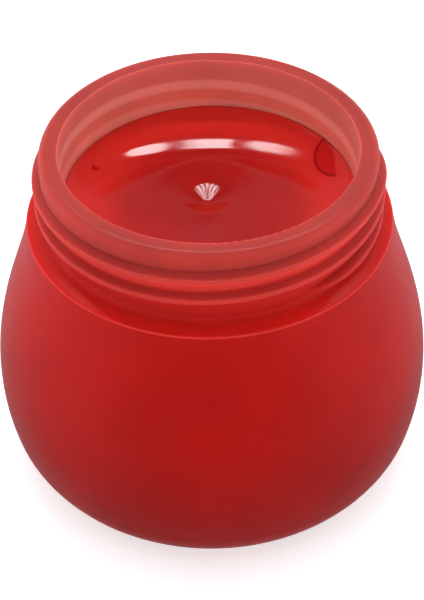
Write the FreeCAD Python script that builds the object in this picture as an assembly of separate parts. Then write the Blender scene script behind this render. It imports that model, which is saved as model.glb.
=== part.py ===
import FreeCAD, Part
import math
import os

# Open paint jar: one blow-moulded plastic jar and the paint in it.
# Millimetres. +Z is up, the origin is the centre of the base, -Y is the front.

V = FreeCAD.Vector

# Jar, outside
HEIGHT = 52.2
LIP_RADIUS = 22.6
LIP_ROUND = 1.05
EDGE_RADIUS = 25.2
EDGE_DROP = 11.2
EDGE_SLOPE = 10.0
EDGE_SOFTENING = 0.3
SHOULDER_RADIUS = 28.35
SHOULDER_DROP = 21.6
BELLY_RADIUS = 31.8
BELLY_DROP = 38.7
LOWER_BELLY_ARC = 36.0
BASE_ROUND = 8.5

# Neck: a straight bore, and a straight outside down to the flared collar
MOUTH_RADIUS = 20.0
MOUTH_ROUND = 0.25
BORE_DROP = 8.0
NECK_DROP = 9.9

# Walls
BELLY_WALL = 1.5
FLOOR = 2.2
PUSH_UP = 1.2
STAND_WIDTH = 3.0

# Thread: one right-handed ridge. Angles run anticlockwise from the front.
CREST_RADIUS = 23.75
PITCH = 3.3
CREST_WIDTH = 0.8
CREST_CHAMFER = 0.2
ROOT_WIDTH = 1.9
FRONT_CREST_DROP = 3.35
THREAD_BOTTOM = 28.0
THREAD_TOP = 820.0
RUN_OUT = 24.0
BURIED = 0.3
SECTION_STEP = 12.0

# Paint
PAINT_GAP = 0.05
BOWL_DEPTH = 1.3
DIMPLE_RADIUS = 4.6
DIMPLE_DEPTH = 1.2


def point(radius, drop):
    """A profile point, given by how far it lies below the lip."""
    return V(radius, 0, HEIGHT - drop)


def curve(points, start, end):
    """A smooth profile curve through points, leaving and arriving in the given directions."""
    spline = Part.BSplineCurve()
    spline.interpolate(Points=points, InitialTangent=start, FinalTangent=end)
    return spline.toShape()


def line(first, second):
    return Part.makeLine(first, second)


def quarter_round(start, end, centre):
    """A quarter circle about a centre, in the plane of the profile."""
    radius = start.distanceToPoint(centre)
    middle = centre + ((start - centre) + (end - centre)).normalize() * radius
    return Part.Arc(start, middle, end).toShape()


def heel(inset, floor):
    """Lower belly arc and base round, from the widest level in to the flat at the floor's height."""
    widest = V(BELLY_RADIUS - inset, 0, HEIGHT - BELLY_DROP)
    arc = LOWER_BELLY_ARC - inset
    arc_centre = widest - V(arc, 0, 0)
    bend = BASE_ROUND - inset
    rise = widest.z - floor - bend
    bend_centre = V(arc_centre.x + math.sqrt((arc - bend) ** 2 - rise ** 2), 0, floor + bend)
    outward = (bend_centre - arc_centre).normalize()
    join = arc_centre + outward * arc
    half = (V(1, 0, 0) + outward).normalize()
    corner = (outward + V(0, 0, -1)).normalize()
    flat = V(bend_centre.x, 0, floor)
    lower = Part.Arc(widest, arc_centre + half * arc, join).toShape()
    bottom = Part.Arc(join, bend_centre + corner * bend, flat).toShape()
    return [lower, bottom], flat


def upper_belly(inset, start_drop=0.0):
    """From the collar's edge, or a little below it, over the shoulder, to the widest level."""
    slope = math.radians(EDGE_SLOPE)
    down = V(math.sin(slope), 0, -math.cos(slope))
    edge = point(EDGE_RADIUS - inset, EDGE_DROP + inset) + down * start_drop
    shoulder = point(SHOULDER_RADIUS - inset, SHOULDER_DROP)
    widest = point(BELLY_RADIUS - inset, BELLY_DROP)
    return curve([edge, shoulder, widest], down, V(0, 0, -1))


def softened_corner(corner, before, after, reach):
    """An arc that rounds a corner, touching both directions a given reach from it."""
    middle = (after - before).normalize()
    half = before.getAngle(after) / 2
    centre = corner + middle * (reach / math.sin(half))
    radius = reach / math.tan(half)
    return Part.Arc(corner - before * reach, centre - middle * radius, corner + after * reach).toShape()


def throat(inset):
    """Inner wall from the foot of the straight bore out to the level of the collar's edge."""
    slope = math.radians(EDGE_SLOPE)
    bore_foot = point(MOUTH_RADIUS + BELLY_WALL - inset, BORE_DROP)
    edge = point(EDGE_RADIUS - inset, EDGE_DROP + inset)
    return curve([bore_foot, edge], V(0, 0, -1), V(math.sin(slope), 0, -math.cos(slope)))


def revolve(edges):
    """Spin a closed profile about the jar's axis."""
    wire = Part.Wire(Part.sortEdges(edges)[0])
    return Part.Face(wire).revolve(V(0, 0, 0), V(0, 0, 1), 360)


def cavity_profile(inset):
    """Inner wall and floor, from the foot of the straight bore down to the axis."""
    floor = FLOOR + PUSH_UP + inset - BELLY_WALL
    rounds, flat = heel(inset, floor)
    centre = V(0, 0, floor)
    return [throat(inset), upper_belly(inset)] + rounds + [line(flat, centre)], centre


def jar_shell():
    """Lip, neck, collar, belly and base as one moulded wall, without its thread."""
    inner, centre = cavity_profile(BELLY_WALL)
    mouth = point(MOUTH_RADIUS, MOUTH_ROUND)
    land_in = point(MOUTH_RADIUS + MOUTH_ROUND, 0)
    land_out = point(LIP_RADIUS - LIP_ROUND, 0)
    lip_side = point(LIP_RADIUS, LIP_ROUND)
    neck_foot = point(LIP_RADIUS, NECK_DROP)
    edge = point(EDGE_RADIUS, EDGE_DROP)
    slope = math.radians(EDGE_SLOPE)
    outwards = V(1, 0, -0.35).normalize()
    downwards = V(math.sin(slope), 0, -math.cos(slope))
    rounds, stand_out = heel(0, 0)
    stand_in = stand_out - V(STAND_WIDTH, 0, 0)
    recess = stand_in + V(-PUSH_UP, 0, PUSH_UP)
    outer = [
        line(point(MOUTH_RADIUS, BORE_DROP), mouth),
        quarter_round(mouth, land_in, point(MOUTH_RADIUS + MOUTH_ROUND, MOUTH_ROUND)),
        line(land_in, land_out),
        quarter_round(land_out, lip_side, point(LIP_RADIUS - LIP_ROUND, LIP_ROUND)),
        line(lip_side, neck_foot),
        curve([neck_foot, edge - outwards * EDGE_SOFTENING], V(0.15, 0, -1), outwards),
        softened_corner(edge, outwards, downwards, EDGE_SOFTENING),
        upper_belly(0, EDGE_SOFTENING),
    ]
    base = [
        line(stand_out, stand_in),
        line(stand_in, recess),
        line(recess, V(0, 0, PUSH_UP)),
        line(V(0, 0, PUSH_UP), centre),
    ]
    return revolve(inner + outer + rounds + base)


def ridge_section(angle, height):
    """The ridge's cross-section at an angle, standing a given height out of the neck."""
    turn = math.radians(angle - 90)
    outward = V(math.cos(turn), math.sin(turn), 0)
    level = HEIGHT - FRONT_CREST_DROP + PITCH * (angle - 720) / 360
    foot = LIP_RADIUS - 2 * BURIED
    flank = (ROOT_WIDTH - CREST_WIDTH) / 2 / (CREST_RADIUS - LIP_RADIUS)
    half_foot = CREST_WIDTH / 2 + flank * (height + 2 * BURIED)
    crest = LIP_RADIUS + height
    lower = [(foot, -half_foot), (crest - CREST_CHAMFER, -CREST_WIDTH / 2)]
    lower += [(crest, CREST_CHAMFER - CREST_WIDTH / 2)]
    upper = [(radius, -rise) for radius, rise in reversed(lower)]
    points = [outward * radius + V(0, 0, level + rise) for radius, rise in lower + upper]
    return Part.makePolygon(points + points[:1])


def thread():
    """The ridge: full height for most of its length, easing into the neck at both ends."""
    full = CREST_RADIUS - LIP_RADIUS
    count = int(round((THREAD_TOP - THREAD_BOTTOM) / SECTION_STEP))
    sections = []
    for index in range(count + 1):
        angle = THREAD_BOTTOM + (THREAD_TOP - THREAD_BOTTOM) * index / count
        near_end = min(angle - THREAD_BOTTOM, THREAD_TOP - angle, RUN_OUT) / RUN_OUT
        height = (full + BURIED) * math.sin(near_end * math.pi / 2) - BURIED
        sections.append(ridge_section(angle, height))
    return Part.makeLoft(sections, True, False)


def paint():
    """The filling: up to the bore wall, a shallow bowl with a dimple left in its middle."""
    inset = BELLY_WALL + PAINT_GAP
    profile, centre = cavity_profile(inset)
    rim = point(MOUTH_RADIUS - PAINT_GAP, BORE_DROP)
    bowl = BORE_DROP + BOWL_DEPTH
    surface = [
        rim,
        point(0.88 * MOUTH_RADIUS, BORE_DROP + 0.5 * BOWL_DEPTH),
        point(0.55 * MOUTH_RADIUS, BORE_DROP + 0.95 * BOWL_DEPTH),
        point(DIMPLE_RADIUS, bowl),
        point(0.4 * DIMPLE_RADIUS, bowl + 0.8 * DIMPLE_DEPTH),
        point(0, bowl + DIMPLE_DEPTH),
    ]
    top = curve(surface, V(-1, 0, -0.8), V(-1, 0, 0))
    return revolve(profile + [top, line(surface[-1], centre)])


jar = jar_shell().fuse(thread()).removeSplitter()
parts = {"jar_body": jar, "paint_fill": paint()}
os.makedirs("parts", exist_ok=True)
for name, shape in parts.items():
    solid = shape.Solids[0]
    solid.exportStep("parts/" + name + ".step")
    print(name, solid.isValid(), round(solid.Volume), solid.BoundBox)
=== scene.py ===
import math

import bmesh
import bpy
from mathutils import Matrix, Vector


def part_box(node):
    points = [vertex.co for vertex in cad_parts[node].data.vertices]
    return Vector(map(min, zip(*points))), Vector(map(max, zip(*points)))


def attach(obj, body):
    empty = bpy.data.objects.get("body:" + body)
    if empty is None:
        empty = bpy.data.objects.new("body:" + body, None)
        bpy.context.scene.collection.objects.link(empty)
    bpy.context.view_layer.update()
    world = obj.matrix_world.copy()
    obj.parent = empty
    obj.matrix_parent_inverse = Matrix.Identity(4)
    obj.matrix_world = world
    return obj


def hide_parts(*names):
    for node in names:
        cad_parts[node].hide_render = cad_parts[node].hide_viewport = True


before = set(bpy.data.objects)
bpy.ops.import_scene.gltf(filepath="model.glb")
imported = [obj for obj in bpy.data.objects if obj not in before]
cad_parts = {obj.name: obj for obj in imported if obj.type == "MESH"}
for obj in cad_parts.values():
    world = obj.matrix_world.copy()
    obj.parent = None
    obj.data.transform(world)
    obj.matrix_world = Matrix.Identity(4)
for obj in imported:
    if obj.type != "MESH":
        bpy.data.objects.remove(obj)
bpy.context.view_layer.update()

# Open jar of ready-mixed red paint, on a pale studio floor.
# Metres in the scene, millimetres in the numbers below. +Z is up, -Y is the front.

MM = 0.001
JAR_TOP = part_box("jar_body")[1].z / MM
PAINT_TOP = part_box("paint_fill")[1].z / MM

# Jar, as in the part's source
MOUTH_RADIUS = 20.0
LIP_RADIUS = 22.6
CREST_RADIUS = 23.75
PITCH = 3.3
FIRST_CREST = JAR_TOP - 3.35
NECK_FOOT = JAR_TOP - 9.9
COLLAR_EDGE = JAR_TOP - 11.2

# Light bends in the neck's wall, so the ridge behind it shows this much higher on the inside
BAND_RISE = 0.8

# Paint surface: a bowl, a pit in a shallow dish, a dip in front of them and one bubble
RINGS = 110
SPOKES = 300
PROFILE_STEP = 0.05
WALL_GAP = 0.01
BOWL_STEEPEST = 0.272
BOWL_STRETCH = 1.58
STEEPER_SIDES = 0.13
CLIMB_TO_RIGHT = 0.015
PIT = Vector((-0.3, 0.9))
PIT_RADIUS = 4.3
PIT_STEEPEST = 0.145
PIT_NEAR_SIDE = 1.5
DISH_RADIUS = 9.0
DISH_STEEPEST = 0.13
DISH_NEAR_SIDE = 0.45
DIP = Vector((-0.3, -4.5))
DIP_RADIUS = 4.0
DIP_DEPTH = 0.3
BUBBLE = Vector((-15.9, 7.0))
BUBBLE_RADIUS = 0.5
BUBBLE_RISE = 0.15

# Painted shade on the paint: a darker oval patch by the wall, cut straight on its right, standing in for
# a fold that reflects the dark wall instead of the sky
SHADED_PATCH = Vector((18.0, 8.0, 0.0))
SHADED_PATCH_REACH = Vector((3.3, 4.2))
SHADED_PATCH_RIGHT = 17.7

# Filling below its surface: radius and height down the wall, then in to the axis
FILLING_SIDE = [(19.95, 43.0), (20.4, 41.6), (22.2, 40.0), (23.3, 38.4), (24.6, 35.0), (26.5, 30.4)]
FILLING_SIDE += [(28.6, 24.0), (29.9, 17.5), (30.2, 13.4), (29.8, 9.6), (28.0, 6.2), (25.2, 4.2)]
FILLING_SIDE += [(21.5, 3.5), (0.0, 3.5)]

# Node settings that several nodes share
TIMES = {"operation": "MULTIPLY"}
LESS = {"operation": "SUBTRACT"}
BLEND = {"data_type": "RGBA"}
EASED = {"interpolation_type": "SMOOTHSTEP"}


# ---------------------------------------------------------------- helpers

def linear(hex_colour):
    """sRGB hex to the linear colour that shaders take."""
    channels = [int(hex_colour[i:i + 2], 16) / 255 for i in (0, 2, 4)]
    curve = [c / 12.92 if c <= 0.04045 else ((c + 0.055) / 1.055) ** 2.4 for c in channels]
    return (*curve, 1.0)


def smooth(low, high, value):
    """0 below low, 1 above high, eased between. Low may be the larger."""
    t = min(1.0, max(0.0, (value - low) / (high - low)))
    return t * t * (3 - 2 * t)


def grain(size):
    """The scale of a pattern whose cells are a size in mm."""
    return 1 / (size * MM)


def fill_inputs(tree, node, inputs):
    """Each input takes a value or another node's output."""
    for name, value in inputs.items():
        if isinstance(value, bpy.types.NodeSocket):
            tree.links.new(value, node.inputs[name])
        else:
            node.inputs[name].default_value = value


def add_node(tree, kind, settings, inputs):
    """A shader node with its settings and its links. Returns its outputs."""
    made = tree.nodes.new("ShaderNode" + kind)
    for name, value in settings.items():
        setattr(made, name, value)
    fill_inputs(tree, made, inputs)
    return made.outputs


def new_material(name):
    """An empty node material: its tree and its Principled shader."""
    material = bpy.data.materials.new(name)
    material.use_nodes = True
    tree = material.node_tree
    return material, tree, tree.nodes["Principled BSDF"]


def finish_piece(name, mesh_builder, material):
    """A piece from a bmesh, smooth shaded, with one material."""
    mesh = bpy.data.meshes.new(name)
    mesh_builder.to_mesh(mesh)
    mesh_builder.free()
    for face in mesh.polygons:
        face.use_smooth = True
    mesh.materials.append(material)
    piece = bpy.data.objects.new(name, mesh)
    bpy.context.scene.collection.objects.link(piece)
    return piece


# ---------------------------------------------------------------- materials

def axis_distance(tree, place):
    """How far a point lies from the jar's axis."""
    flat = add_node(tree, "VectorMath", TIMES, {0: place, 1: (1, 1, 0)})[0]
    return add_node(tree, "VectorMath", {"operation": "LENGTH"}, {0: flat})["Value"]


def soft_zones(tree, edges, overlaps):
    """Zones of a surface by name, from 0 to 1. Each starts and is full at given mm of a measure.
    An overlap is where several zones hold at once."""
    zones = {}
    for name, (measure, start, full) in edges.items():
        zones[name] = add_node(tree, "MapRange", EASED, {0: measure, 1: start * MM, 2: full * MM})[0]
    for name, members in overlaps.items():
        zones[name] = zones[members[0]]
        for member in members[1:]:
            zones[name] = add_node(tree, "Math", TIMES, {0: zones[name], 1: zones[member]})[0]
    return zones


def lay_tints(tree, zones, ground, layers):
    """Tints laid over a ground colour, one after another, each with its zone and its strength."""
    colour = linear(ground) if isinstance(ground, str) else ground
    for name, strength, tint in layers:
        share = add_node(tree, "Math", TIMES, {0: zones[name], 1: strength})[0]
        over = linear(tint) if isinstance(tint, str) else tint
        colour = add_node(tree, "Mix", BLEND, {0: share, 6: colour, 7: over})[2]
    return colour


def jar_zones(tree, place):
    """Where the jar's wall is thick or has air or paint behind it, and where light and shade are painted
    in: painted light on the inside and in the shaded collar and groove, painted highlights on the edges.
    """
    x, y, height = add_node(tree, "SeparateXYZ", {}, {0: place})
    radius = axis_distance(tree, place)

    # Distance from the middle of the ridge, which climbs by one pitch a turn, outside and inside
    turn = add_node(tree, "Math", {"operation": "ARCTAN2"}, {0: y, 1: x})[0]
    lead = add_node(tree, "Math", TIMES, {0: turn, 1: PITCH * MM / math.tau})[0]
    unwound = add_node(tree, "Math", LESS, {0: height, 1: lead})[0]
    from_middle = []
    for rise in (0.0, BAND_RISE):
        level = (FIRST_CREST + PITCH / 4 + rise) * MM
        above = add_node(tree, "Math", LESS, {0: unwound, 1: level})[0]
        nearest = add_node(tree, "Math", {"operation": "PINGPONG"}, {0: above, 1: PITCH / 2 * MM})[0]
        from_middle.append(nearest)
    from_crest, from_band = from_middle

    edges = {
        "lip_top": (height, JAR_TOP - 1.2, JAR_TOP - 0.2),
        "outside": (radius, MOUTH_RADIUS + 0.03, MOUTH_RADIUS + 0.12),
        "inner_wall": (radius, MOUTH_RADIUS + 0.12, MOUTH_RADIUS + 0.03),
        "deep": (height, JAR_TOP - 1.0, PAINT_TOP - 1.0),
        "under_lip": (height, JAR_TOP - 2.0, JAR_TOP - 2.8),
        "behind_ridge": (from_band, 1.05, 0.45),
        "neck": (height, NECK_FOOT - 0.6, NECK_FOOT + 0.4),
        "raised": (radius, LIP_RADIUS + 0.1, CREST_RADIUS),
        "crest": (radius, CREST_RADIUS - 0.2, CREST_RADIUS - 0.06),
        "off_middle": (from_crest, 0.18, 0.34),
        "groove_wall": (radius, LIP_RADIUS + 0.3, LIP_RADIUS + 0.05),
        "under_first_ridge": (height, JAR_TOP - 3.4, JAR_TOP - 4.4),
        "over_second_ridge": (height, JAR_TOP - 7.4, JAR_TOP - 6.2),
        "neck_foot": (height, COLLAR_EDGE + 0.7, COLLAR_EDGE + 1.6),
        "shelf_painted_light": (height, COLLAR_EDGE - 0.3, COLLAR_EDGE + 0.3),
        "line_top": (height, COLLAR_EDGE + 0.02, COLLAR_EDGE - 0.08),
        "line_foot": (height, COLLAR_EDGE - 0.24, COLLAR_EDGE - 0.12),
        "paint_level": (height, PAINT_TOP + 4.6, PAINT_TOP - 1.0),
        "clear_of_base_shade": (height, 6.0, 36.0),
    }
    overlaps = {
        "deep_inside_painted_light": ("inner_wall", "deep"),
        "inner_band_painted_light": ("behind_ridge", "inner_wall", "under_lip"),
        "ridge": ("raised", "neck"),
        "crest_edge_highlight": ("off_middle", "crest", "neck"),
        "groove_painted_light": ("groove_wall", "under_first_ridge", "over_second_ridge", "neck", "outside"),
        "collar_edge_highlight": ("line_top", "line_foot"),
        "backed": ("paint_level", "outside"),
    }
    return soft_zones(tree, edges, overlaps)


def moulded_polypropylene():
    """Blow-moulded polypropylene tinted red: cloudy and lighter where air is behind it or where it is
    thick, deep red where paint backs it, with a soft satin gloss and a faint orange peel. Light and
    shade are painted into its colour as well: painted light inside and in shaded hollows, painted
    highlights on edges, and painted shade darkening the belly towards its base."""
    material, tree, shader = new_material("moulded_polypropylene")
    place = add_node(tree, "TexCoord", {}, {})["Object"]
    zones = jar_zones(tree, place)

    # Air behind the wall: pale and milky. The inside is painted paler, painted light for the light
    # coming through the wall, palest low down by the paint where shade falls, with pale bands of painted
    # light where the ridge shows through
    clear = lay_tints(tree, zones, "a9352f", [
        ("lip_top", 1.0, "ae3f38"),
        ("inner_wall", 1.0, "ca6b63"),
        ("deep_inside_painted_light", 1.0, "ea836e"),
        ("inner_band_painted_light", 0.42, "eeb4aa"),
    ])

    # Paint behind the wall: deep, painted darker towards the base as painted shade, with painted light
    # lifting the shade on the collar's shelf and a painted highlight along its edge
    backed = lay_tints(tree, zones, "7e0f0c", [
        ("clear_of_base_shade", 1.0, "a81510"),
        ("shelf_painted_light", 1.0, "cc1e17"),
        ("neck_foot", 1.0, "ac1c17"),
        ("collar_edge_highlight", 1.0, "ce3c35"),
    ])

    # The ridge is thicker plastic and paler; painted highlights on its crest's edges and painted light
    # in the shaded groove below it
    wall = lay_tints(tree, zones, clear, [
        ("backed", 1.0, backed),
        ("ridge", 0.6, "a83631"),
        ("crest_edge_highlight", 1.0, "b44a43"),
        ("groove_painted_light", 0.6, "d83830"),
    ])

    # Uneven tint from blowing: soft clouds
    inputs = {"Vector": place, "Scale": grain(14.3), "Detail": 3.0, "Roughness": 0.45}
    clouds = add_node(tree, "TexNoise", {}, inputs)[0]
    shade = add_node(tree, "MapRange", EASED, {0: clouds, 1: 0.35, 2: 0.65, 3: 0.93, 4: 1.05})[0]
    clouded = add_node(tree, "Mix", {**BLEND, "blend_type": "MULTIPLY"}, {0: 1.0, 6: wall, 7: shade})[2]

    # A bloom that varies the gloss, and a finer orange peel
    bloom = add_node(tree, "TexNoise", {}, {"Vector": place, "Scale": grain(3.85), "Detail": 4.0})[0]
    gloss = add_node(tree, "MapRange", EASED, {0: bloom, 1: 0.3, 2: 0.7, 3: 0.28, 4: 0.34})[0]
    peel = add_node(tree, "TexNoise", {}, {"Vector": place, "Scale": grain(1.11), "Detail": 2.0})[0]
    bump = add_node(tree, "Bump", {}, {"Height": peel, "Strength": 0.08, "Distance": 0.02 * MM})[0]
    fill_inputs(tree, shader, {
        "Base Color": clouded,
        "Roughness": gloss,
        "Normal": bump,
        "IOR": 1.49,
        "Specular IOR Level": 0.25,
        "Sheen Weight": 0.12,
        "Sheen Roughness": 0.35,
        "Sheen Tint": linear("e8c8cc"),
        "Subsurface Weight": 1.0,
        "Subsurface Radius": (1.0, 0.4, 0.35),
        "Subsurface Scale": 3.0 * MM,
    })
    return material


def wet_acrylic_paint():
    """Ready-mixed acrylic paint, still wet: dense red pigment under a mirror-smooth film, painted
    brighter by the wall as painted light for the light that comes through the plastic, with one darker
    oval patch of painted shade by the wall."""
    material, tree, shader = new_material("wet_acrylic_paint")
    place = add_node(tree, "TexCoord", {}, {})["Object"]
    across = add_node(tree, "SeparateXYZ", {}, {0: place})["X"]
    from_shaded_patch = add_node(tree, "VectorMath", LESS, {0: place, 1: SHADED_PATCH * MM})[0]
    shrink = (1 / SHADED_PATCH_REACH.x, 1 / SHADED_PATCH_REACH.y, 0)
    from_shaded_patch = add_node(tree, "VectorMath", TIMES, {0: from_shaded_patch, 1: shrink})[0]
    from_shaded_patch = add_node(tree, "VectorMath", {"operation": "LENGTH"}, {0: from_shaded_patch})["Value"]
    edges = {
        "by_wall_painted_light": (axis_distance(tree, place), 10.0, 18.0),
        "oval": (from_shaded_patch, 1.0, 0.95),
        "rim": (from_shaded_patch, 0.8, 0.92),
        "left_of_cut": (across, SHADED_PATCH_RIGHT, SHADED_PATCH_RIGHT - 0.1),
    }
    overlaps = {"shaded_patch": ("oval", "left_of_cut"), "shaded_patch_rim": ("shaded_patch", "rim")}
    zones = soft_zones(tree, edges, overlaps)

    # Pigment that the last stir left in faint streaks
    inputs = {"Vector": place, "Scale": grain(11.1), "Detail": 4.0, "Distortion": 1.5}
    swirl = add_node(tree, "TexNoise", {}, inputs)[0]
    zones["streak"] = add_node(tree, "MapRange", EASED, {0: swirl, 1: 0.3, 2: 0.7})[0]
    # Painted light by the wall; painted shade in the oval patch, darkest along its rim
    colour = lay_tints(tree, zones, "b01712", [
        ("streak", 1.0, "b81b16"),
        ("by_wall_painted_light", 1.0, "dc2b23"),
        ("shaded_patch", 0.8, "c8100b"),
        ("shaded_patch_rim", 1.0, "a00d09"),
    ])

    # The film: gloss that varies a little, over slow ripples
    film = add_node(tree, "TexNoise", {}, {"Vector": place, "Scale": grain(6.25), "Detail": 2.0})[0]
    gloss = add_node(tree, "MapRange", EASED, {0: film, 1: 0.3, 2: 0.7, 3: 0.05, 4: 0.1})[0]
    ripple = add_node(tree, "TexNoise", {}, {"Vector": place, "Scale": grain(2.38), "Detail": 1.0})[0]
    bump = add_node(tree, "Bump", {}, {"Height": ripple, "Strength": 0.2, "Distance": 0.02 * MM})[0]
    fill_inputs(tree, shader, {
        "Base Color": colour,
        "Roughness": gloss,
        "Normal": bump,
        "IOR": 1.5,
        "Specular IOR Level": 0.33,
        "Subsurface Weight": 0.15,
        "Subsurface Radius": (1.0, 0.2, 0.15),
        "Subsurface Scale": 0.6 * MM,
    })
    return material


# ---------------------------------------------------------------- paint

def bowl_slope(u):
    """Rise per mm outwards: flat in the middle, a rounded step, then a gentle climb to the wall."""
    easing = 1 - 0.55 * smooth(12.5, 14.6, u) - 0.35 * smooth(16.4, 17.4, u)
    return BOWL_STEEPEST * smooth(8.9, 12.1, u) * easing


def pit_slope(r):
    """Rise per mm out of the pit that the last drop left, from a small flat bottom."""
    return PIT_STEEPEST * smooth(0.4, 0.8, r) * smooth(PIT_RADIUS, 3.0, r)


def dish_slope(r):
    """Rise per mm out of the wide shallow dish around the pit."""
    return DISH_STEEPEST * smooth(0.4, 0.8, r) * smooth(DISH_RADIUS, 7.2, r)


def summed(slope, reach):
    """Heights every PROFILE_STEP mm, from a slope."""
    heights = [0.0]
    for index in range(int(reach / PROFILE_STEP)):
        heights.append(heights[-1] + slope((index + 0.5) * PROFILE_STEP) * PROFILE_STEP)
    return heights


def look_up(heights, distance):
    """The height at a distance, between two steps."""
    place = min(distance / PROFILE_STEP, len(heights) - 1.001)
    index = int(place)
    return heights[index] + (heights[index + 1] - heights[index]) * (place - index)


BOWL = summed(bowl_slope, 24.0)
PIT_HEIGHTS = summed(pit_slope, PIT_RADIUS)
DISH_HEIGHTS = summed(dish_slope, DISH_RADIUS)


def bowl_height(x, y):
    """The bowl is wider across than from front to back, and a little steeper at its sides."""
    steeper = 1 + STEEPER_SIDES * smooth(3.0, 12.0, abs(x))
    return look_up(BOWL, math.hypot(x / BOWL_STRETCH, y)) * steeper


def hollow(heights, near_side, x, y):
    """Depth of a hollow about the pit's centre. Its front half is squeezed by near_side."""
    across, back = x - PIT.x, y - PIT.y
    if back < 0:
        back *= near_side
    return heights[-1] - look_up(heights, math.hypot(across, back))


def paint_height(x, y):
    """Height of the wet surface in mm, clinging to the wall at an even level."""
    rim = MOUTH_RADIUS - WALL_GAP
    radius = max(math.hypot(x, y), 0.001)
    at_wall = bowl_height(x / radius * rim, y / radius * rim)
    climb = bowl_height(0.0, rim) + CLIMB_TO_RIGHT * x - at_wall
    cling = climb * math.exp((radius - rim) / 1.4) + 0.25 * math.exp((radius - rim) / 0.4)
    dip = DIP_DEPTH * smooth(DIP_RADIUS, 0.0, (Vector((x, y)) - DIP).length)
    pit = hollow(PIT_HEIGHTS, PIT_NEAR_SIDE, x, y)
    dish = hollow(DISH_HEIGHTS, DISH_NEAR_SIDE, x, y)
    return bowl_height(x, y) + cling - pit - dish - dip


def build_paint(material):
    """The filling: a spun body that follows the jar's inside, with its wet surface shaped on top."""
    rim = MOUTH_RADIUS - WALL_GAP
    body = bmesh.new()
    surface = [(rim * (i / RINGS), PAINT_TOP) for i in range(RINGS + 1)]
    chain = [body.verts.new((r * MM, 0.0, z * MM)) for r, z in surface + FILLING_SIDE]
    edges = [body.edges.new(pair) for pair in zip(chain, chain[1:])]
    bmesh.ops.spin(
        body,
        geom=chain + edges,
        cent=(0, 0, 0),
        axis=(0, 0, 1),
        angle=math.tau,
        steps=SPOKES,
        use_merge=True,
    )
    bmesh.ops.remove_doubles(body, verts=body.verts, dist=0.002 * MM)
    bmesh.ops.recalc_face_normals(body, faces=body.faces)

    # The level at the far wall stays at the paint's top
    base = PAINT_TOP - paint_height(0.0, rim)
    for vert in body.verts:
        if vert.co.z > (PAINT_TOP - 0.01) * MM:
            vert.co.z = (base + paint_height(vert.co.x / MM, vert.co.y / MM)) * MM

    centre = Vector((*BUBBLE, base + paint_height(*BUBBLE) + BUBBLE_RISE))
    seat = Matrix.Translation(centre * MM)
    bmesh.ops.create_uvsphere(body, u_segments=24, v_segments=16, radius=BUBBLE_RADIUS * MM, matrix=seat)
    return finish_piece("paint", body, material)


# ---------------------------------------------------------------- stage

def area_light(name, place, target, size, power, in_reflections):
    """A soft rectangular lamp aimed at a point."""
    data = bpy.data.lights.new(name, "AREA")
    data.shape = "RECTANGLE"
    data.size, data.size_y = size
    data.energy = power
    lamp = bpy.data.objects.new(name, data)
    lamp.location = place
    lamp.rotation_euler = (Vector(target) - Vector(place)).to_track_quat("-Z", "Y").to_euler()
    lamp.visible_glossy = in_reflections
    bpy.context.scene.collection.objects.link(lamp)


def build_floor():
    """A wide pale floor that stays out of reflections."""
    disc = bmesh.new()
    bmesh.ops.create_circle(disc, cap_ends=True, segments=96, radius=3.0)
    pale, tree, shader = new_material("pale_floor")
    fill_inputs(tree, shader, {
        "Base Color": linear("fafafa"),
        "Emission Color": linear("ffffff"),
        "Emission Strength": 0.45,
        "Roughness": 0.9,
        "Specular IOR Level": 0.1,
    })
    floor = finish_piece("floor", disc, pale)
    floor.visible_glossy = False


def build_room():
    """Soft grey room light, darker overhead, behind the viewer and below the floor."""
    world = bpy.data.worlds.new("studio")
    bpy.context.scene.world = world
    world.use_nodes = True
    tree = world.node_tree
    ray = add_node(tree, "TexCoord", {}, {})["Generated"]
    x, y, z = add_node(tree, "SeparateXYZ", {}, {0: ray})
    sky = linear("a6a8ae")
    shades = [(z, 0.64, 0.78, "505054"), (y, -0.45, -0.95, "505054"), (z, -0.3, -0.75, "6c6d72")]
    for measure, start, full, tint in shades:
        share = add_node(tree, "MapRange", EASED, {0: measure, 1: start, 2: full})[0]
        sky = add_node(tree, "Mix", BLEND, {0: share, 6: sky, 7: linear(tint)})[2]
    fill_inputs(tree, tree.nodes["Background"], {"Color": sky, "Strength": 1.0})


def build_lamps():
    """Soft boxes above and around, out of reflections, and a row of strip lamps that shine in them."""
    jar_middle = (0, 0, 0.03)
    area_light("top_softbox", (0.0, 0.1, 0.9), jar_middle, (1.2, 1.2), 4.5, False)
    sides = 6
    for index in range(sides):
        turn = Matrix.Rotation(index * math.tau / sides, 3, "Z")
        place = turn @ Vector((0.0, -1.05, 0.25))
        area_light(f"softbox_{index}", place, jar_middle, (0.9, 0.5), 3.7, False)
    for index in range(11):
        x = (index - 5) * 0.05
        area_light(f"strip_{index}", (x, 0.27, 0.65), (x * 0.6, 0.0, 0.045), (0.03, 0.07), 0.13, True)


def build_camera():
    """The viewer looks down into the mouth at 43 degrees, with the head tipped by a degree."""
    data = bpy.data.cameras.new("camera")
    data.sensor_width = 36.0
    data.lens = 78.48
    data.shift_x = 0.00147
    data.clip_start = 0.01
    camera = bpy.data.objects.new("camera", data)
    look_down = Matrix.Rotation(math.radians(90 - 43.33), 4, "X")
    roll = Matrix.Rotation(math.radians(-0.945), 4, "Z")
    camera.matrix_world = Matrix.Translation((0, -139.9 * MM, 155.7 * MM)) @ look_down @ roll
    bpy.context.scene.collection.objects.link(camera)
    bpy.context.scene.camera = camera


# ---------------------------------------------------------------- making

build_camera()
build_floor()
build_room()
build_lamps()

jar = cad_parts["jar_body"]
jar.data.materials.clear()
jar.data.materials.append(moulded_polypropylene())

paint = build_paint(wet_acrylic_paint())
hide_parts("paint_fill")
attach(paint, "root")

bpy.context.scene.view_settings.view_transform = "Standard"
